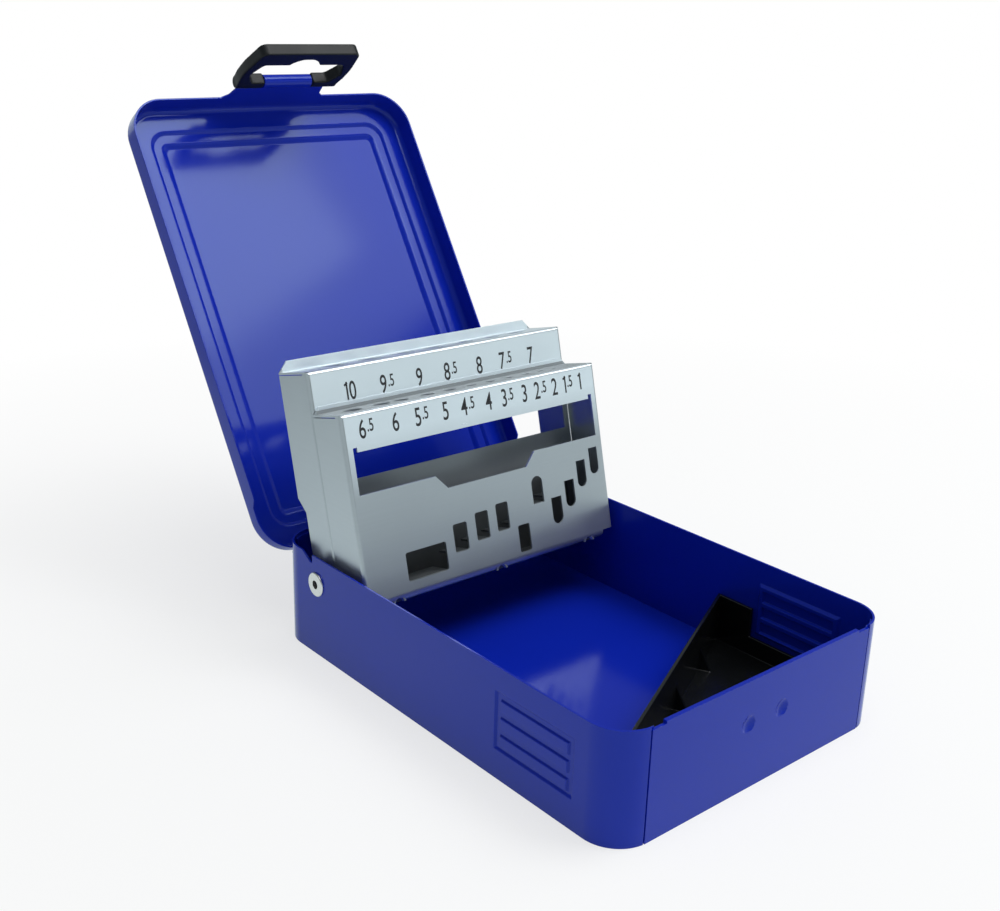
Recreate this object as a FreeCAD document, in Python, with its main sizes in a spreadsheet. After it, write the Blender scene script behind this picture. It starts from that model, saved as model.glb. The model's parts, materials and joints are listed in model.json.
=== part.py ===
import FreeCAD, Part
import os
import re
import Sketcher
from types import SimpleNamespace

from FreeCAD import Placement, Rotation, Vector

# A hinged steel case for drill bits, shown open, with its drill racks raised.
# X runs across the case, Y from the front wall to the rear wall, Z up from the surface it stands on.
# Millimetres. The origin is the middle of the underside.

SIZES = {
    # Case
    "case_width": 121.0,
    "case_depth": 170.0,
    "case_height": 36.8,
    "corner_radius": 12.6,
    "gauge": 0.7,
    "seam_inset": 11.1,
    "seam_gap": 0.5,
    "hem_height": 4.5,
    "wall_tab_reach": 6.0,
    "wall_tab_margin": 1.2,
    "relief_length": 5.4,
    "relief_depth": 0.9,
    "dimple_spread": 15.2,
    "dimple_height": 22.5,
    "dimple_radius": 3.0,
    "dimple_depth": 1.0,
    "overrun": 3.0,
    # Pressed grip panel in each side wall
    "panel_inset": 17.5,
    "panel_length": 33.5,
    "panel_low": 9.7,
    "panel_high": 29.1,
    "panel_press": 0.9,
    "rib_margin": 2.6,
    "rib_width": 3.4,
    "rib_pitch": 5.8,
    "rib_count": 3,
    "rib_first": 13.1,
    # Notch in each side wall beside the racks
    "notch_inset": 21.6,
    "notch_length": 6.2,
    "notch_foot": 1.6,
    "notch_depth": 2.9,
    # Rack pivots
    "pivot_inset": 24.3,
    "pivot_drop": 9.8,
    "rivet_radius": 2.5,
    "rivet_bore": 1.5,
    "rivet_head_radius": 4.3,
    "rivet_head": 0.8,
    "rivet_tail_radius": 4.1,
    "washer_radius": 5.0,
    "washer_thick": 2.5,
    "running_fit": 0.06,
    "side_play": 0.3,
    # Racks
    "rack_lean": 14.0,
    "floor_clearance": 1.4,
    "lid_clearance": 0.1,
    "back_face_reach": 8.4,
    "front_rack_low": 8.2,
    "front_rack_high": 58.2,
    "back_rack_low": 9.0,
    "back_rack_high": 72.6,
    "sheet_bend": 1.4,
    "foot_bend": 3.2,
    "corner_slit": 0.3,
    "front_lip": 2.4,
    "back_lip": 3.7,
    "lip_end_slope": 0.9,
    "foot_notch": 5.2,
    "foot_notch_high": 2.9,
    "weld_tab_width": 6.0,
    "weld_tab_high": 20.0,
    "dart_radius": 1.9,
    "dart_depth": 0.7,
    "waist_high": 28.8,
    "waist_low": 23.9,
    "ledge_reach": 4.0,
    # Windows
    "window_margin": 3.2,
    "front_window_drop": 13.0,
    "front_window_height": 14.2,
    "dip_depth": 5.0,
    "dip_half": 22.6,
    "dip_foot_half": 17.9,
    "back_window_drop": 14.6,
    "back_window_height": 24.2,
    "window_relief": 1.6,
    # Drill seats
    "largest_front_drill": 6.5,
    "largest_back_drill": 10.0,
    "drill_step": 0.5,
    "drill_play": 0.15,
    "slot_height": 10.0,
    "slot_corner": 0.8,
    "slot_base": 3.9,
    "slot_width_share": 0.45,
    "wide_slot_margin": 4.5,
    # Lid
    "lid_side_gap": 1.4,
    "lid_rear_gap": 1.4,
    "lid_front_gap": 4.4,
    "lid_seat_gap": 0.2,
    "lid_corner": 14.0,
    "rim_overlap": 5.9,
    "rim_extra": 2.6,
    "rear_relief": 18.0,
    "rim_bend": 2.9,
    "border_width": 9.5,
    "ledge_width": 5.0,
    "ledge_corner": 6.8,
    "ledge_rise": 1.1,
    "panel_rise": 1.3,
    "lid_open": 122.6,
    "tab_base_half": 20.6,
    "tab_end_half": 19.6,
    "tab_length": 7.4,
    "tab_flare": 2.4,
    "curl_drop": 12.2,
    "curl_radius": 2.5,
    "curl_half": 10.6,
    # Hinges
    "hinge_offset": 2.25,
    "hinge_drop": 1.9,
    "hinge_inset": 25.5,
    "hinge_length": 30.0,
    "knuckle_radius": 1.7,
    "hinge_pin_radius": 0.95,
    "knuckle_gap": 0.3,
    "base_leaf_drop": 14.0,
    "lid_leaf_rise": 6.0,
    # Handle
    "handle_thick": 4.6,
    "handle_reach": 23.8,
    "handle_end_half": 21.2,
    "handle_belly_half": 23.9,
    "handle_belly": 8.5,
    "handle_root_half": 22.3,
    "grip_low": 2.5,
    "grip_belly": 8.4,
    "grip_high": 15.6,
    "grip_low_half": 17.2,
    "grip_belly_half": 20.6,
    "grip_high_half": 17.6,
    "hang_radius": 7.4,
    "hang_centre": 12.3,
    "handle_corner": 3.0,
    "handle_side_curve": 34.0,
    "grip_corner": 2.0,
    "barrel_gap": 0.3,
    # Tray
    "tray_play": 0.2,
    "tray_wall": 1.2,
    "tray_height": 18.6,
    "tray_low_height": 7.9,
    "tray_step": 52.0,
    "tray_left": 8.4,
    "tray_right": 68.8,
    "gusset_reach": 4.5,
    "gusset_height": 9.0,
}

# Seats across each rack, largest drill first, as shares of the rack's half width.
FRONT_SEAT_SHARES = [-0.818, -0.612, -0.467, -0.268, -0.093, 0.074, 0.232, 0.384, 0.532, 0.658, 0.777, 0.898]
BACK_SEAT_SHARES = [-0.705, -0.437, -0.193, 0.053, 0.289, 0.511, 0.728]
# Heights of the rests that the drills stand on, as shares of the front rack's height above its pivot.
WIDE_REST_SHARE = -0.033
REST_SHARES = {4: 0.05, 5: 0.082, 6: 0.1, 7: 0.1, 8: 0.203, 9: 0.21, 10: 0.294, 11: 0.399, 12: 0.46}
# Where each rest joins its slot, and how the slot's other end is shaped.
REST_KINDS = {
    4: "below, square",
    5: "below, square",
    6: "below, square",
    7: "above, square",
    8: "below, round",
    9: "above, round",
    10: "above, round",
    11: "above, round",
    12: "above, round",
}
# Dents that stiffen the fold at the foot of the front rack, as shares of the rack's half width.
DART_SHARES = (-0.772, 0.021, 0.779)
# Where the tray's slanting wall has its gussets, as shares of its length.
GUSSET_SHARES = (0.575, 0.795)

doc = FreeCAD.newDocument("drill_case")
sheet = doc.addObject("Spreadsheet::Sheet", "sizes")
for row, (alias, value) in enumerate(SIZES.items(), 1):
    sheet.set(f"A{row}", alias)
    sheet.set(f"B{row}", str(value))
    sheet.setAlias(f"B{row}", alias)
doc.recompute()
size = SimpleNamespace(**{alias: float(sheet.get(alias)) for alias in SIZES})
WORDS = re.compile(r"[a-z_][a-z_0-9]*")
X, Y, Z = Vector(1, 0, 0), Vector(0, 1, 0), Vector(0, 0, 1)
nodes = []


def cells(formula):
    """A formula in size names, written for the sheet."""
    return WORDS.sub(lambda word: f"sizes.{word[0]}" if word[0] in SIZES else word[0], formula)


def bind(thing, path, formula):
    thing.setExpression(path, cells(formula))


def node(thing, label):
    thing.Label = label
    nodes.append(thing)
    return thing


def box(name, x, y, z):
    """A box between pairs of formulas."""
    solid = doc.addObject("Part::Box", name)
    for side, axis, (low, high) in (("Length", "x", x), ("Width", "y", y), ("Height", "z", z)):
        bind(solid, side, f"({high}) - ({low})")
        bind(solid, f"Placement.Base.{axis}", low)
    solid.recompute()
    return solid


def rod(name, radius, x, y, z):
    """A cylinder along X between a pair of formulas."""
    solid = doc.addObject("Part::Cylinder", name)
    solid.Placement = Placement(Vector(), Rotation(Y, 90))
    bind(solid, "Radius", radius)
    bind(solid, "Height", f"({x[1]}) - ({x[0]})")
    for axis, formula in (("x", x[0]), ("y", y), ("z", z)):
        bind(solid, f"Placement.Base.{axis}", formula)
    solid.recompute()
    return solid


def post(name, radius, x, y, z):
    """A cylinder along Z between a pair of formulas."""
    solid = doc.addObject("Part::Cylinder", name)
    bind(solid, "Radius", radius)
    bind(solid, "Height", f"({z[1]}) - ({z[0]})")
    for axis, formula in (("x", x), ("y", y), ("z", z[0])):
        bind(solid, f"Placement.Base.{axis}", formula)
    solid.recompute()
    return solid


def ball(name, radius, x, y, z):
    solid = doc.addObject("Part::Sphere", name)
    bind(solid, "Radius", radius)
    for axis, formula in (("x", x), ("y", y), ("z", z)):
        bind(solid, f"Placement.Base.{axis}", formula)
    solid.recompute()
    return solid


def fuse(name, parts):
    joined = doc.addObject("Part::MultiFuse", name)
    joined.Shapes = parts
    joined.Refine = True
    joined.recompute()
    return joined


def cut(name, base, tools):
    cutter = tools[0] if len(tools) == 1 else fuse(f"{name}_tools", tools)
    result = doc.addObject("Part::Cut", name)
    result.Base = base
    result.Tool = cutter
    result.Refine = True
    result.recompute()
    return result


def common(name, base, tool):
    result = doc.addObject("Part::Common", name)
    result.Base = base
    result.Tool = tool
    result.recompute()
    return result


def mirrored(name, source):
    """A copy on the other side of the case's middle plane."""
    result = doc.addObject("Part::Mirroring", name)
    result.Source = source
    result.Normal = X
    result.recompute()
    return result


def rounded(name, base, radius, chosen):
    """The base with each edge that chosen(edge) picks rounded to a radius."""
    result = doc.addObject("Part::Fillet", name)
    result.Base = base
    picked = [i for i, edge in enumerate(base.Shape.Edges, 1) if chosen(edge)]
    result.Edges = [(i, radius, radius) for i in picked]
    result.recompute()
    return result


def along(edge, axis):
    """Whether a straight edge runs along an axis."""
    ends = [vertex.Point for vertex in edge.Vertexes]
    return len(ends) == 2 and (ends[1] - ends[0]).cross(axis).Length < edge.Length / 1000


def rounded_box(name, x, y, z, radius):
    """A box whose four upright edges are rounded."""
    return rounded(name, box(f"{name}_block", x, y, z), radius, lambda edge: along(edge, Z))


def outline(body, name, plane, points, offset):
    """A closed sketch whose corners are pairs of formulas."""
    sketch = body.newObject("Sketcher::SketchObject", name)
    support = [item for item in body.Origin.OriginFeatures if item.Role == plane][0]
    sketch.AttachmentSupport = [(support, "")]
    sketch.MapMode = "FlatFace"
    bind(sketch, "AttachmentOffset.Base.z", offset)
    count = len(points)
    for i in range(count):
        sketch.addGeometry(Part.LineSegment(Vector(i, i * i, 0), Vector(i + 1, (i + 1) ** 2, 0)))
    for i in range(count):
        sketch.addConstraint(Sketcher.Constraint("Coincident", i, 2, (i + 1) % count, 1))
    for i, point in enumerate(points):
        for kind, formula in zip(("DistanceX", "DistanceY"), point):
            index = sketch.addConstraint(Sketcher.Constraint(kind, -1, 1, i, 1, 1.0))
            bind(sketch, f"Constraints[{index}]", formula)
    return sketch


def prism(name, plane, points, low, high):
    """A body padded from a corner outline, between two formulas along the plane's own axis."""
    body = doc.addObject("PartDesign::Body", name)
    offset = f"-({high})" if plane == "XZ_Plane" else low
    sketch = outline(body, f"{name}_outline", plane, points, offset)
    pad = body.newObject("PartDesign::Pad", f"{name}_pad")
    pad.Profile = sketch
    bind(pad, "Length", f"({high}) - ({low})")
    body.recompute(True)
    return body


HALF_WIDE = "case_width / 2"
HALF_DEEP = "case_depth / 2"
SEAM_HALF = "(case_width / 2 - seam_inset)"
RACK_HALF = "(case_width / 2 - gauge - washer_thick - side_play)"
PIVOT_BACK = "(case_depth / 2 - pivot_inset)"
PIVOT_HIGH = "(case_height - pivot_drop)"
FRONT_FACE = "(case_height - pivot_drop - gauge - floor_clearance)"
REAR_EDGE = "(pivot_drop - lid_clearance)"
WINDOW_HALF = f"({RACK_HALF} - window_margin)"
AXIS_BACK = "(case_depth / 2 + hinge_offset)"
AXIS_HIGH = "(case_height - rim_overlap - hinge_drop)"
PLATE_HALF = f"({SEAM_HALF} - seam_gap)"


def both_sides(half):
    return f"-({half})", half


def case_shell():
    """Floor and walls in one rounded sheet box, before the end plates are let in."""
    outer = rounded_box(
        "pan_outer",
        both_sides(HALF_WIDE),
        both_sides(HALF_DEEP),
        ("0", "case_height"),
        size.corner_radius,
    )
    inner = rounded_box(
        "pan_inner",
        both_sides(f"{HALF_WIDE} - gauge"),
        both_sides(f"{HALF_DEEP} - gauge"),
        ("gauge", "case_height + overrun"),
        size.corner_radius - size.gauge,
    )
    return cut("pan_shell", outer, [inner])


def frustum(name, x, y, z, inset):
    """A block between two X formulas that shrinks by inset on every side as X grows."""
    solid = doc.addObject("Part::Wedge", name)
    solid.Placement = Placement(Vector(), Rotation(Z, -90))
    bind(solid, "Xmin", f"-({y[1]})")
    bind(solid, "Xmax", f"-({y[0]})")
    bind(solid, "X2min", f"-({y[1]}) + ({inset})")
    bind(solid, "X2max", f"-({y[0]}) - ({inset})")
    bind(solid, "Ymin", x[0])
    bind(solid, "Ymax", x[1])
    bind(solid, "Zmin", z[0])
    bind(solid, "Zmax", z[1])
    bind(solid, "Z2min", f"({z[0]}) + ({inset})")
    bind(solid, "Z2max", f"({z[1]}) - ({inset})")
    solid.recompute()
    return solid


def grip_press(name, surface):
    """The pressed rectangle of the left wall with its three ribs left standing."""
    x = (surface, f"{surface} + panel_press")
    field = frustum(
        f"{name}_field",
        x,
        (f"panel_inset - {HALF_DEEP}", f"panel_inset + panel_length - {HALF_DEEP}"),
        ("panel_low", "panel_high"),
        "panel_press",
    )
    rib_front = f"panel_inset + rib_margin - {HALF_DEEP}"
    rib_span = (rib_front, f"{rib_front} + panel_length - 2 * rib_margin")
    ribs = []
    for i in range(int(size.rib_count)):
        middle = f"rib_first + {i} * rib_pitch"
        ribs.append(
            frustum(
                f"{name}_rib_{i + 1}",
                x,
                rib_span,
                (f"{middle} - rib_width / 2", f"{middle} + rib_width / 2"),
                "-panel_press / 2",
            )
        )
    return cut(name, field, ribs)


def base_pan():
    shell = case_shell()
    end_cut = (f"-{HALF_DEEP} - overrun", f"gauge - {HALF_DEEP}")
    tall = ("-overrun", "case_height + overrun")
    front_gap = box("front_gap", both_sides(SEAM_HALF), end_cut, tall)
    rear_gap = box("rear_gap", both_sides(SEAM_HALF), [f"-({end_cut[1]})", f"-({end_cut[0]})"], tall)
    across = (f"-{HALF_WIDE} - overrun", f"{HALF_WIDE} + overrun")
    notch_front = f"{HALF_DEEP} - notch_inset"
    notch = prism(
        "wall_notch",
        "YZ_Plane",
        [
            (notch_front, "case_height + overrun"),
            (notch_front, "case_height - notch_depth"),
            (f"{notch_front} + notch_foot", "case_height - notch_depth"),
            (f"{notch_front} + notch_length", "case_height"),
            (f"{notch_front} + notch_length", "case_height + overrun"),
        ],
        *across,
    )
    holes = rod("rivet_holes", "rivet_radius", across, PIVOT_BACK, PIVOT_HIGH)
    outside = grip_press("grip_outside", f"-{HALF_WIDE}")
    inside = grip_press("grip_inside", f"gauge - {HALF_WIDE}")
    tools = [front_gap, rear_gap, notch, holes, outside, mirrored("grip_outside_right", outside)]
    walls = cut("pan_walls", shell, tools)
    return node(fuse("pan", [walls, inside, mirrored("grip_inside_right", inside)]), "base_pan")


def end_plate():
    """The front plate, without its dimples: sheet, hem and the tabs behind the wraps."""
    face = (f"-{HALF_DEEP}", f"gauge - {HALF_DEEP}")
    plate = box("end_sheet", both_sides(PLATE_HALF), face, ("0", "case_height"))
    reliefs = []
    for side in ("-", ""):
        ends = [f"{side}({PLATE_HALF} - relief_length)", f"{side}({PLATE_HALF} + overrun)"]
        if side:
            ends.reverse()
        high = ("case_height - relief_depth", "case_height + overrun")
        reliefs.append(box(f"end_relief_{len(reliefs)}", ends, face, high))
    hem = box(
        "end_hem",
        both_sides(f"{PLATE_HALF} - relief_length"),
        (f"gauge - {HALF_DEEP}", f"2 * gauge - {HALF_DEEP}"),
        ("case_height - hem_height", "case_height"),
    )
    tall = ("wall_tab_margin", "case_height - wall_tab_margin")
    outer = rounded_box(
        "tab_outer",
        both_sides(f"{HALF_WIDE} - gauge"),
        both_sides(f"{HALF_DEEP} - gauge"),
        tall,
        size.corner_radius - size.gauge,
    )
    inner = rounded_box(
        "tab_inner",
        both_sides(f"{HALF_WIDE} - 2 * gauge"),
        both_sides(f"{HALF_DEEP} - 2 * gauge"),
        ("wall_tab_margin - overrun", "case_height"),
        size.corner_radius - 2 * size.gauge,
    )
    ring = cut("tab_ring", outer, [inner])
    zone = box(
        "tab_zone",
        (f"{SEAM_HALF} - wall_tab_reach", f"{SEAM_HALF} + wall_tab_reach"),
        (f"-{HALF_DEEP}", f"corner_radius - {HALF_DEEP}"),
        tall,
    )
    tab = common("end_tab", ring, zone)
    sheet_part = cut("end_sheet_relieved", plate, reliefs)
    return fuse("end_plate", [sheet_part, hem, tab, mirrored("end_tab_left", tab)])


def front_wall(plate):
    """The end plate with its two dimples pressed in."""
    ball_radius = "(dimple_radius ^ 2 + dimple_depth ^ 2) / (2 * dimple_depth)"
    centre = f"-{HALF_DEEP} - {ball_radius} + dimple_depth"
    behind = box(
        "dimple_zone",
        both_sides(PLATE_HALF),
        (f"gauge - {HALF_DEEP}", f"gauge - {HALF_DEEP} + overrun"),
        ("0", "case_height"),
    )
    hollows = []
    bumps = []
    for side, across in (("left", "-dimple_spread / 2"), ("right", "dimple_spread / 2")):
        where = (across, centre, "dimple_height")
        hollows.append(ball(f"dimple_{side}", ball_radius, *where))
        bump = ball(f"dimple_back_{side}", f"{ball_radius} + gauge", *where)
        bumps.append(common(f"dimple_bump_{side}", behind, bump))
    return node(cut("front_plate", fuse("front_pressed", [plate] + bumps), hollows), "front_wall")


def rear_wall(plate):
    rear = doc.addObject("Part::Mirroring", "rear_plate")
    rear.Source = plate
    rear.Normal = Y
    rear.recompute()
    return node(rear, "rear_wall")


def pivot_rivets():
    """Hollow rivets through the side walls, with a domed head outside and a rolled tail inside."""
    tail = f"-({RACK_HALF} - gauge - side_play)"
    at = (PIVOT_BACK, PIVOT_HIGH)
    shank = rod("rivet_shank", "rivet_radius", (f"-{HALF_WIDE}", tail), *at)
    head = rod("rivet_head_disc", "rivet_head_radius", (f"-{HALF_WIDE} - rivet_head", f"-{HALF_WIDE}"), *at)
    dome = rounded("rivet_dome", head, size.rivet_head * 0.6, lambda edge: edge.BoundBox.XMax < -size.case_width / 2)
    flare = rod("rivet_tail_disc", "rivet_tail_radius", (tail, f"{tail} + rivet_head"), *at)
    bore = rod("rivet_bore_rod", "rivet_bore", (f"-{HALF_WIDE} - overrun", f"{tail} + overrun"), *at)
    left = cut("rivet", fuse("rivet_body", [shank, dome, flare]), [bore])
    node(left, "left_pivot_rivet")
    node(mirrored("rivet_right", left), "right_pivot_rivet")


def spacer_washers():
    at = (PIVOT_BACK, PIVOT_HIGH)
    span = (f"gauge - {HALF_WIDE}", f"-{RACK_HALF} - side_play")
    disc = rod("washer_disc", "washer_radius", span, *at)
    hole = rod("washer_hole", "rivet_radius + running_fit", span, *at)
    left = cut("washer", disc, [hole])
    node(left, "left_spacer_washer")
    node(mirrored("washer_right", left), "right_spacer_washer")


def place_rack(rack, label):
    """Racks are drawn upright about their pivot, then lean back on it."""
    rack.Placement = Placement(Vector(), Rotation(-X, 1))
    bind(rack, "Placement.Rotation.Angle", "rack_lean")
    bind(rack, "Placement.Base.y", PIVOT_BACK)
    bind(rack, "Placement.Base.z", PIVOT_HIGH)
    return node(rack, label)


def rack_channel(name, reach, rear, low, high, foot_radius):
    """A folded sheet channel, open at the back, with rounded folds."""
    outer = box(f"{name}_outer", both_sides(RACK_HALF), (f"-{reach}", rear), (f"-{low}", high))
    inner = box(
        f"{name}_inner",
        both_sides(f"{RACK_HALF} - gauge"),
        (f"gauge - {reach}", f"{rear} + overrun"),
        (f"gauge - {low}", f"{high} - gauge"),
    )

    def fold(kind, block):
        def chosen(edge):
            bounds = edge.BoundBox
            front = bounds.YMax < block.Shape.BoundBox.YMin + size.gauge / 2
            upright = along(edge, Z)
            top = along(edge, X) and bounds.ZMin > 0
            foot = along(edge, X) and bounds.ZMax < 0
            return front and (foot if kind == "foot" else upright or top)

        return chosen

    shapes = []
    for part, block, less in (("outer", outer, 0.0), ("inner", inner, size.gauge)):
        soft = rounded(f"{name}_{part}_folds", block, size.sheet_bend - less, fold("side", block))
        shapes.append(rounded(f"{name}_{part}_foot", soft, foot_radius - less, fold("foot", block)))
    return cut(f"{name}_channel", shapes[0], [shapes[1]])


def corner_slits(name, reach, rear, high):
    """Slits that part the top flange from the side flanges."""
    tools = []
    level = (f"{high} - gauge - corner_slit", f"{high} - gauge")
    for side in ("-", ""):
        ends = [f"{side}({RACK_HALF} - 2 * gauge)", f"{side}({RACK_HALF} + overrun)"]
        if side:
            ends.reverse()
        back = (f"2 * sheet_bend - {reach}", f"{rear} + overrun")
        tools.append(box(f"{name}_slit_{len(tools)}", ends, back, level))
    return tools


def turned_lip(name, rear, high, rise):
    """The rear edge of the top flange, turned up, with sloping ends."""
    tip = f"{RACK_HALF} - lip_end_slope * {rise}"
    points = [
        (f"-{RACK_HALF}", f"{high} - gauge"),
        (RACK_HALF, f"{high} - gauge"),
        (RACK_HALF, high),
        (tip, f"{high} + {rise}"),
        (f"-({tip})", f"{high} + {rise}"),
        (f"-{RACK_HALF}", high),
    ]
    return prism(f"{name}_lip", "XZ_Plane", points, f"{rear} - gauge", rear)


def seat_holes(name, shares, largest, depth, high):
    """Round holes in the top flange, each as wide as its drill with a little play."""
    tools = []
    for count, share in enumerate(shares):
        radius = f"({largest} - {count} * drill_step) / 2 + drill_play"
        level = (f"{high} - gauge - overrun", f"{high} + overrun")
        tools.append(post(f"{name}_hole_{count + 1}", radius, f"{share} * {RACK_HALF}", depth, level))
    return tools


def window(name, points, reach):
    return prism(name, "XZ_Plane", points, f"-{reach} - overrun", f"gauge - {reach} + sheet_bend")


def wide_slot():
    """The span of the wide slot that two drills share."""
    left, right = FRONT_SEAT_SHARES[1:3]
    return f"{left} * {RACK_HALF} - wide_slot_margin", f"{right} * {RACK_HALF} + wide_slot_margin"


def slot(number):
    """Middle, half width and rest height of the slot below a drill of the front rack."""
    half = f"(slot_base + slot_width_share * (largest_front_drill - {number - 1} * drill_step)) / 2"
    return f"{FRONT_SEAT_SHARES[number - 1]} * {RACK_HALF}", half, f"{REST_SHARES[number]} * front_rack_high"


def slot_tool(name, x, y, z):
    return rounded(name, box(f"{name}_block", x, y, z), size.slot_corner, lambda edge: along(edge, Y))


def rest_slots():
    """Openings in the front rack's face, from which the drill rests are bent inward."""
    through = (f"-{FRONT_FACE} - overrun", f"gauge - {FRONT_FACE} + sheet_bend")
    wide_rest = f"{WIDE_REST_SHARE} * front_rack_high"
    tools = [slot_tool("wide_slot", wide_slot(), through, (wide_rest, f"{wide_rest} + slot_height"))]
    for number, kind in REST_KINDS.items():
        middle, half, level = slot(number)
        low, high = level, f"{level} + slot_height"
        if kind.startswith("above"):
            low, high = f"{level} - slot_height", level
        if kind == "above, round":
            low = f"{low} + {half}"
            tools.append(rounding(f"slot_end_{number}", half, middle, through, low))
        if kind == "below, round":
            high = f"{high} - {half}"
            tools.append(rounding(f"slot_end_{number}", half, middle, through, high))
        x = (f"{middle} - {half}", f"{middle} + {half}")
        tools.append((slot_tool if kind.endswith("square") else box)(f"slot_{number}", x, through, (low, high)))
    return tools


def rounding(name, radius, x, y, z):
    """A cylinder along Y between a pair of formulas."""
    solid = doc.addObject("Part::Cylinder", name)
    solid.Placement = Placement(Vector(), Rotation(X, -90))
    bind(solid, "Radius", radius)
    bind(solid, "Height", f"({y[1]}) - ({y[0]})")
    for axis, formula in (("x", x), ("y", y[0]), ("z", z)):
        bind(solid, f"Placement.Base.{axis}", formula)
    solid.recompute()
    return solid


def rests():
    """The tongues bent inward from the slots, on which the drill tips stand."""
    inward = (f"gauge - {FRONT_FACE}", f"slot_height - {FRONT_FACE}")
    wide_rest = f"{WIDE_REST_SHARE} * front_rack_high"
    tongues = [box("wide_rest", wide_slot(), inward, (f"{wide_rest} - gauge", wide_rest))]
    for number, kind in REST_KINDS.items():
        middle, half, level = slot(number)
        z = (f"{level} - gauge", level) if kind.startswith("below") else (level, f"{level} + gauge")
        tongues.append(box(f"rest_{number}", (f"{middle} - {half}", f"{middle} + {half}"), inward, z))
    return tongues


def darts():
    """Balls that dent the foot fold from outside, and the dents' backs inside it."""
    away = "(foot_bend * (1 - sqrt(0.5)) + (dart_depth - dart_radius) * sqrt(0.5))"
    inside = box(
        "dart_zone",
        both_sides(f"{RACK_HALF} - gauge"),
        (f"gauge / 2 - {FRONT_FACE}", f"2 * foot_bend - {FRONT_FACE}"),
        ("gauge / 2 - front_rack_low", "2 * foot_bend - front_rack_low"),
    )
    dents = []
    backs = []
    for share in DART_SHARES:
        where = (f"{share} * {RACK_HALF}", f"{away} - {FRONT_FACE}", f"{away} - front_rack_low")
        label = f"dart_{len(dents) + 1}"
        dents.append(ball(label, "dart_radius", *where))
        back = ball(f"{label}_back", "dart_radius + gauge", *where)
        backs.append(common(f"{label}_bump", inside, back))
    return dents, backs


def front_rack():
    name = "front_rack"
    channel = rack_channel(
        name,
        FRONT_FACE,
        "-back_face_reach",
        "front_rack_low",
        "front_rack_high",
        size.foot_bend,
    )
    tools = corner_slits(name, FRONT_FACE, "-back_face_reach", "front_rack_high")
    middle = f"-({FRONT_FACE} + back_face_reach) / 2"
    tools += seat_holes("front", FRONT_SEAT_SHARES, "largest_front_drill", middle, "front_rack_high")
    top = "front_rack_high - front_window_drop"
    low = f"{top} - front_window_height"
    opening = [
        (f"-{WINDOW_HALF}", top),
        (WINDOW_HALF, top),
        (WINDOW_HALF, low),
        ("dip_half", low),
        ("dip_foot_half", f"{low} - dip_depth"),
        ("-dip_foot_half", f"{low} - dip_depth"),
        ("-dip_half", low),
        (f"-{WINDOW_HALF}", low),
    ]
    tools.append(window("front_window", opening, FRONT_FACE))
    through = (f"-{FRONT_FACE} - overrun", f"gauge - {FRONT_FACE} + sheet_bend")
    relief = (f"{top} - window_relief", f"{top} + window_relief")
    corner = (f"{WINDOW_HALF} - window_relief", WINDOW_HALF)
    right_relief = box("window_relief", corner, through, relief)
    tools += [right_relief, mirrored("window_relief_left", right_relief)]
    notch = box(
        "foot_notch",
        (f"{RACK_HALF} - foot_notch", f"{RACK_HALF} + overrun"),
        (f"-{FRONT_FACE} - overrun", "overrun - back_face_reach"),
        ("-front_rack_low - overrun", "foot_notch_high - front_rack_low"),
    )
    tools += [notch, mirrored("foot_notch_left", notch)] + rest_slots()
    weld = box(
        "weld_tab",
        (f"{RACK_HALF} - gauge - weld_tab_width", f"{RACK_HALF} - gauge"),
        ("-back_face_reach - gauge", "-back_face_reach"),
        ("0", "weld_tab_high"),
    )
    dents, backs = darts()
    lip = turned_lip(name, "-back_face_reach", "front_rack_high", "front_lip")
    added = rests() + [weld, mirrored("weld_tab_left", weld), lip] + backs
    whole = fuse("front_rack_whole", [cut("front_rack_pressed", channel, tools)] + added)
    return place_rack(cut("front_rack_dented", whole, dents), name)


def back_rack():
    """The deeper channel. Its side flanges narrow below the waist and end in the pivot lugs."""
    name = "back_rack"
    reach = "back_face_reach"
    channel = rack_channel(name, reach, REAR_EDGE, "back_rack_low", "back_rack_high", size.sheet_bend)
    tools = corner_slits(name, reach, REAR_EDGE, "back_rack_high")
    middle = f"({REAR_EDGE} - back_face_reach) / 2"
    tools += seat_holes("back", BACK_SEAT_SHARES, "largest_back_drill", middle, "back_rack_high")
    top = "back_rack_high - back_window_drop"
    low = f"{top} - back_window_height"
    opening = [
        (f"-{WINDOW_HALF}", top),
        (WINDOW_HALF, top),
        (WINDOW_HALF, low),
        (f"-{WINDOW_HALF}", low),
    ]
    tools.append(window("back_window", opening, reach))
    waist = [
        (REAR_EDGE, "waist_high"),
        (f"{REAR_EDGE} - ledge_reach", "waist_low"),
        (f"{REAR_EDGE} - ledge_reach", "-back_rack_low - overrun"),
        (f"{REAR_EDGE} + overrun", "-back_rack_low - overrun"),
        (f"{REAR_EDGE} + overrun", "waist_high"),
    ]
    across = (f"-{RACK_HALF} - overrun", f"{RACK_HALF} + overrun")
    tools.append(prism("waist_cut", "YZ_Plane", waist, *across))
    tools.append(rod("pivot_holes", "rivet_radius + running_fit", across, "0", "0"))
    lip = turned_lip(name, REAR_EDGE, "back_rack_high", "back_lip")
    return place_rack(fuse("back_rack_whole", [cut("back_rack_pressed", channel, tools), lip]), name)


LID_SIDE = f"({HALF_WIDE} + lid_side_gap + gauge)"
LID_REAR = "(lid_rear_gap + gauge - hinge_offset)"
LID_FRONT = "(case_depth + hinge_offset + lid_front_gap + gauge)"
RIM_EDGE = "(hinge_drop - rim_extra)"
LID_TOP = "(rim_overlap + hinge_drop + lid_seat_gap + gauge)"


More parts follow.
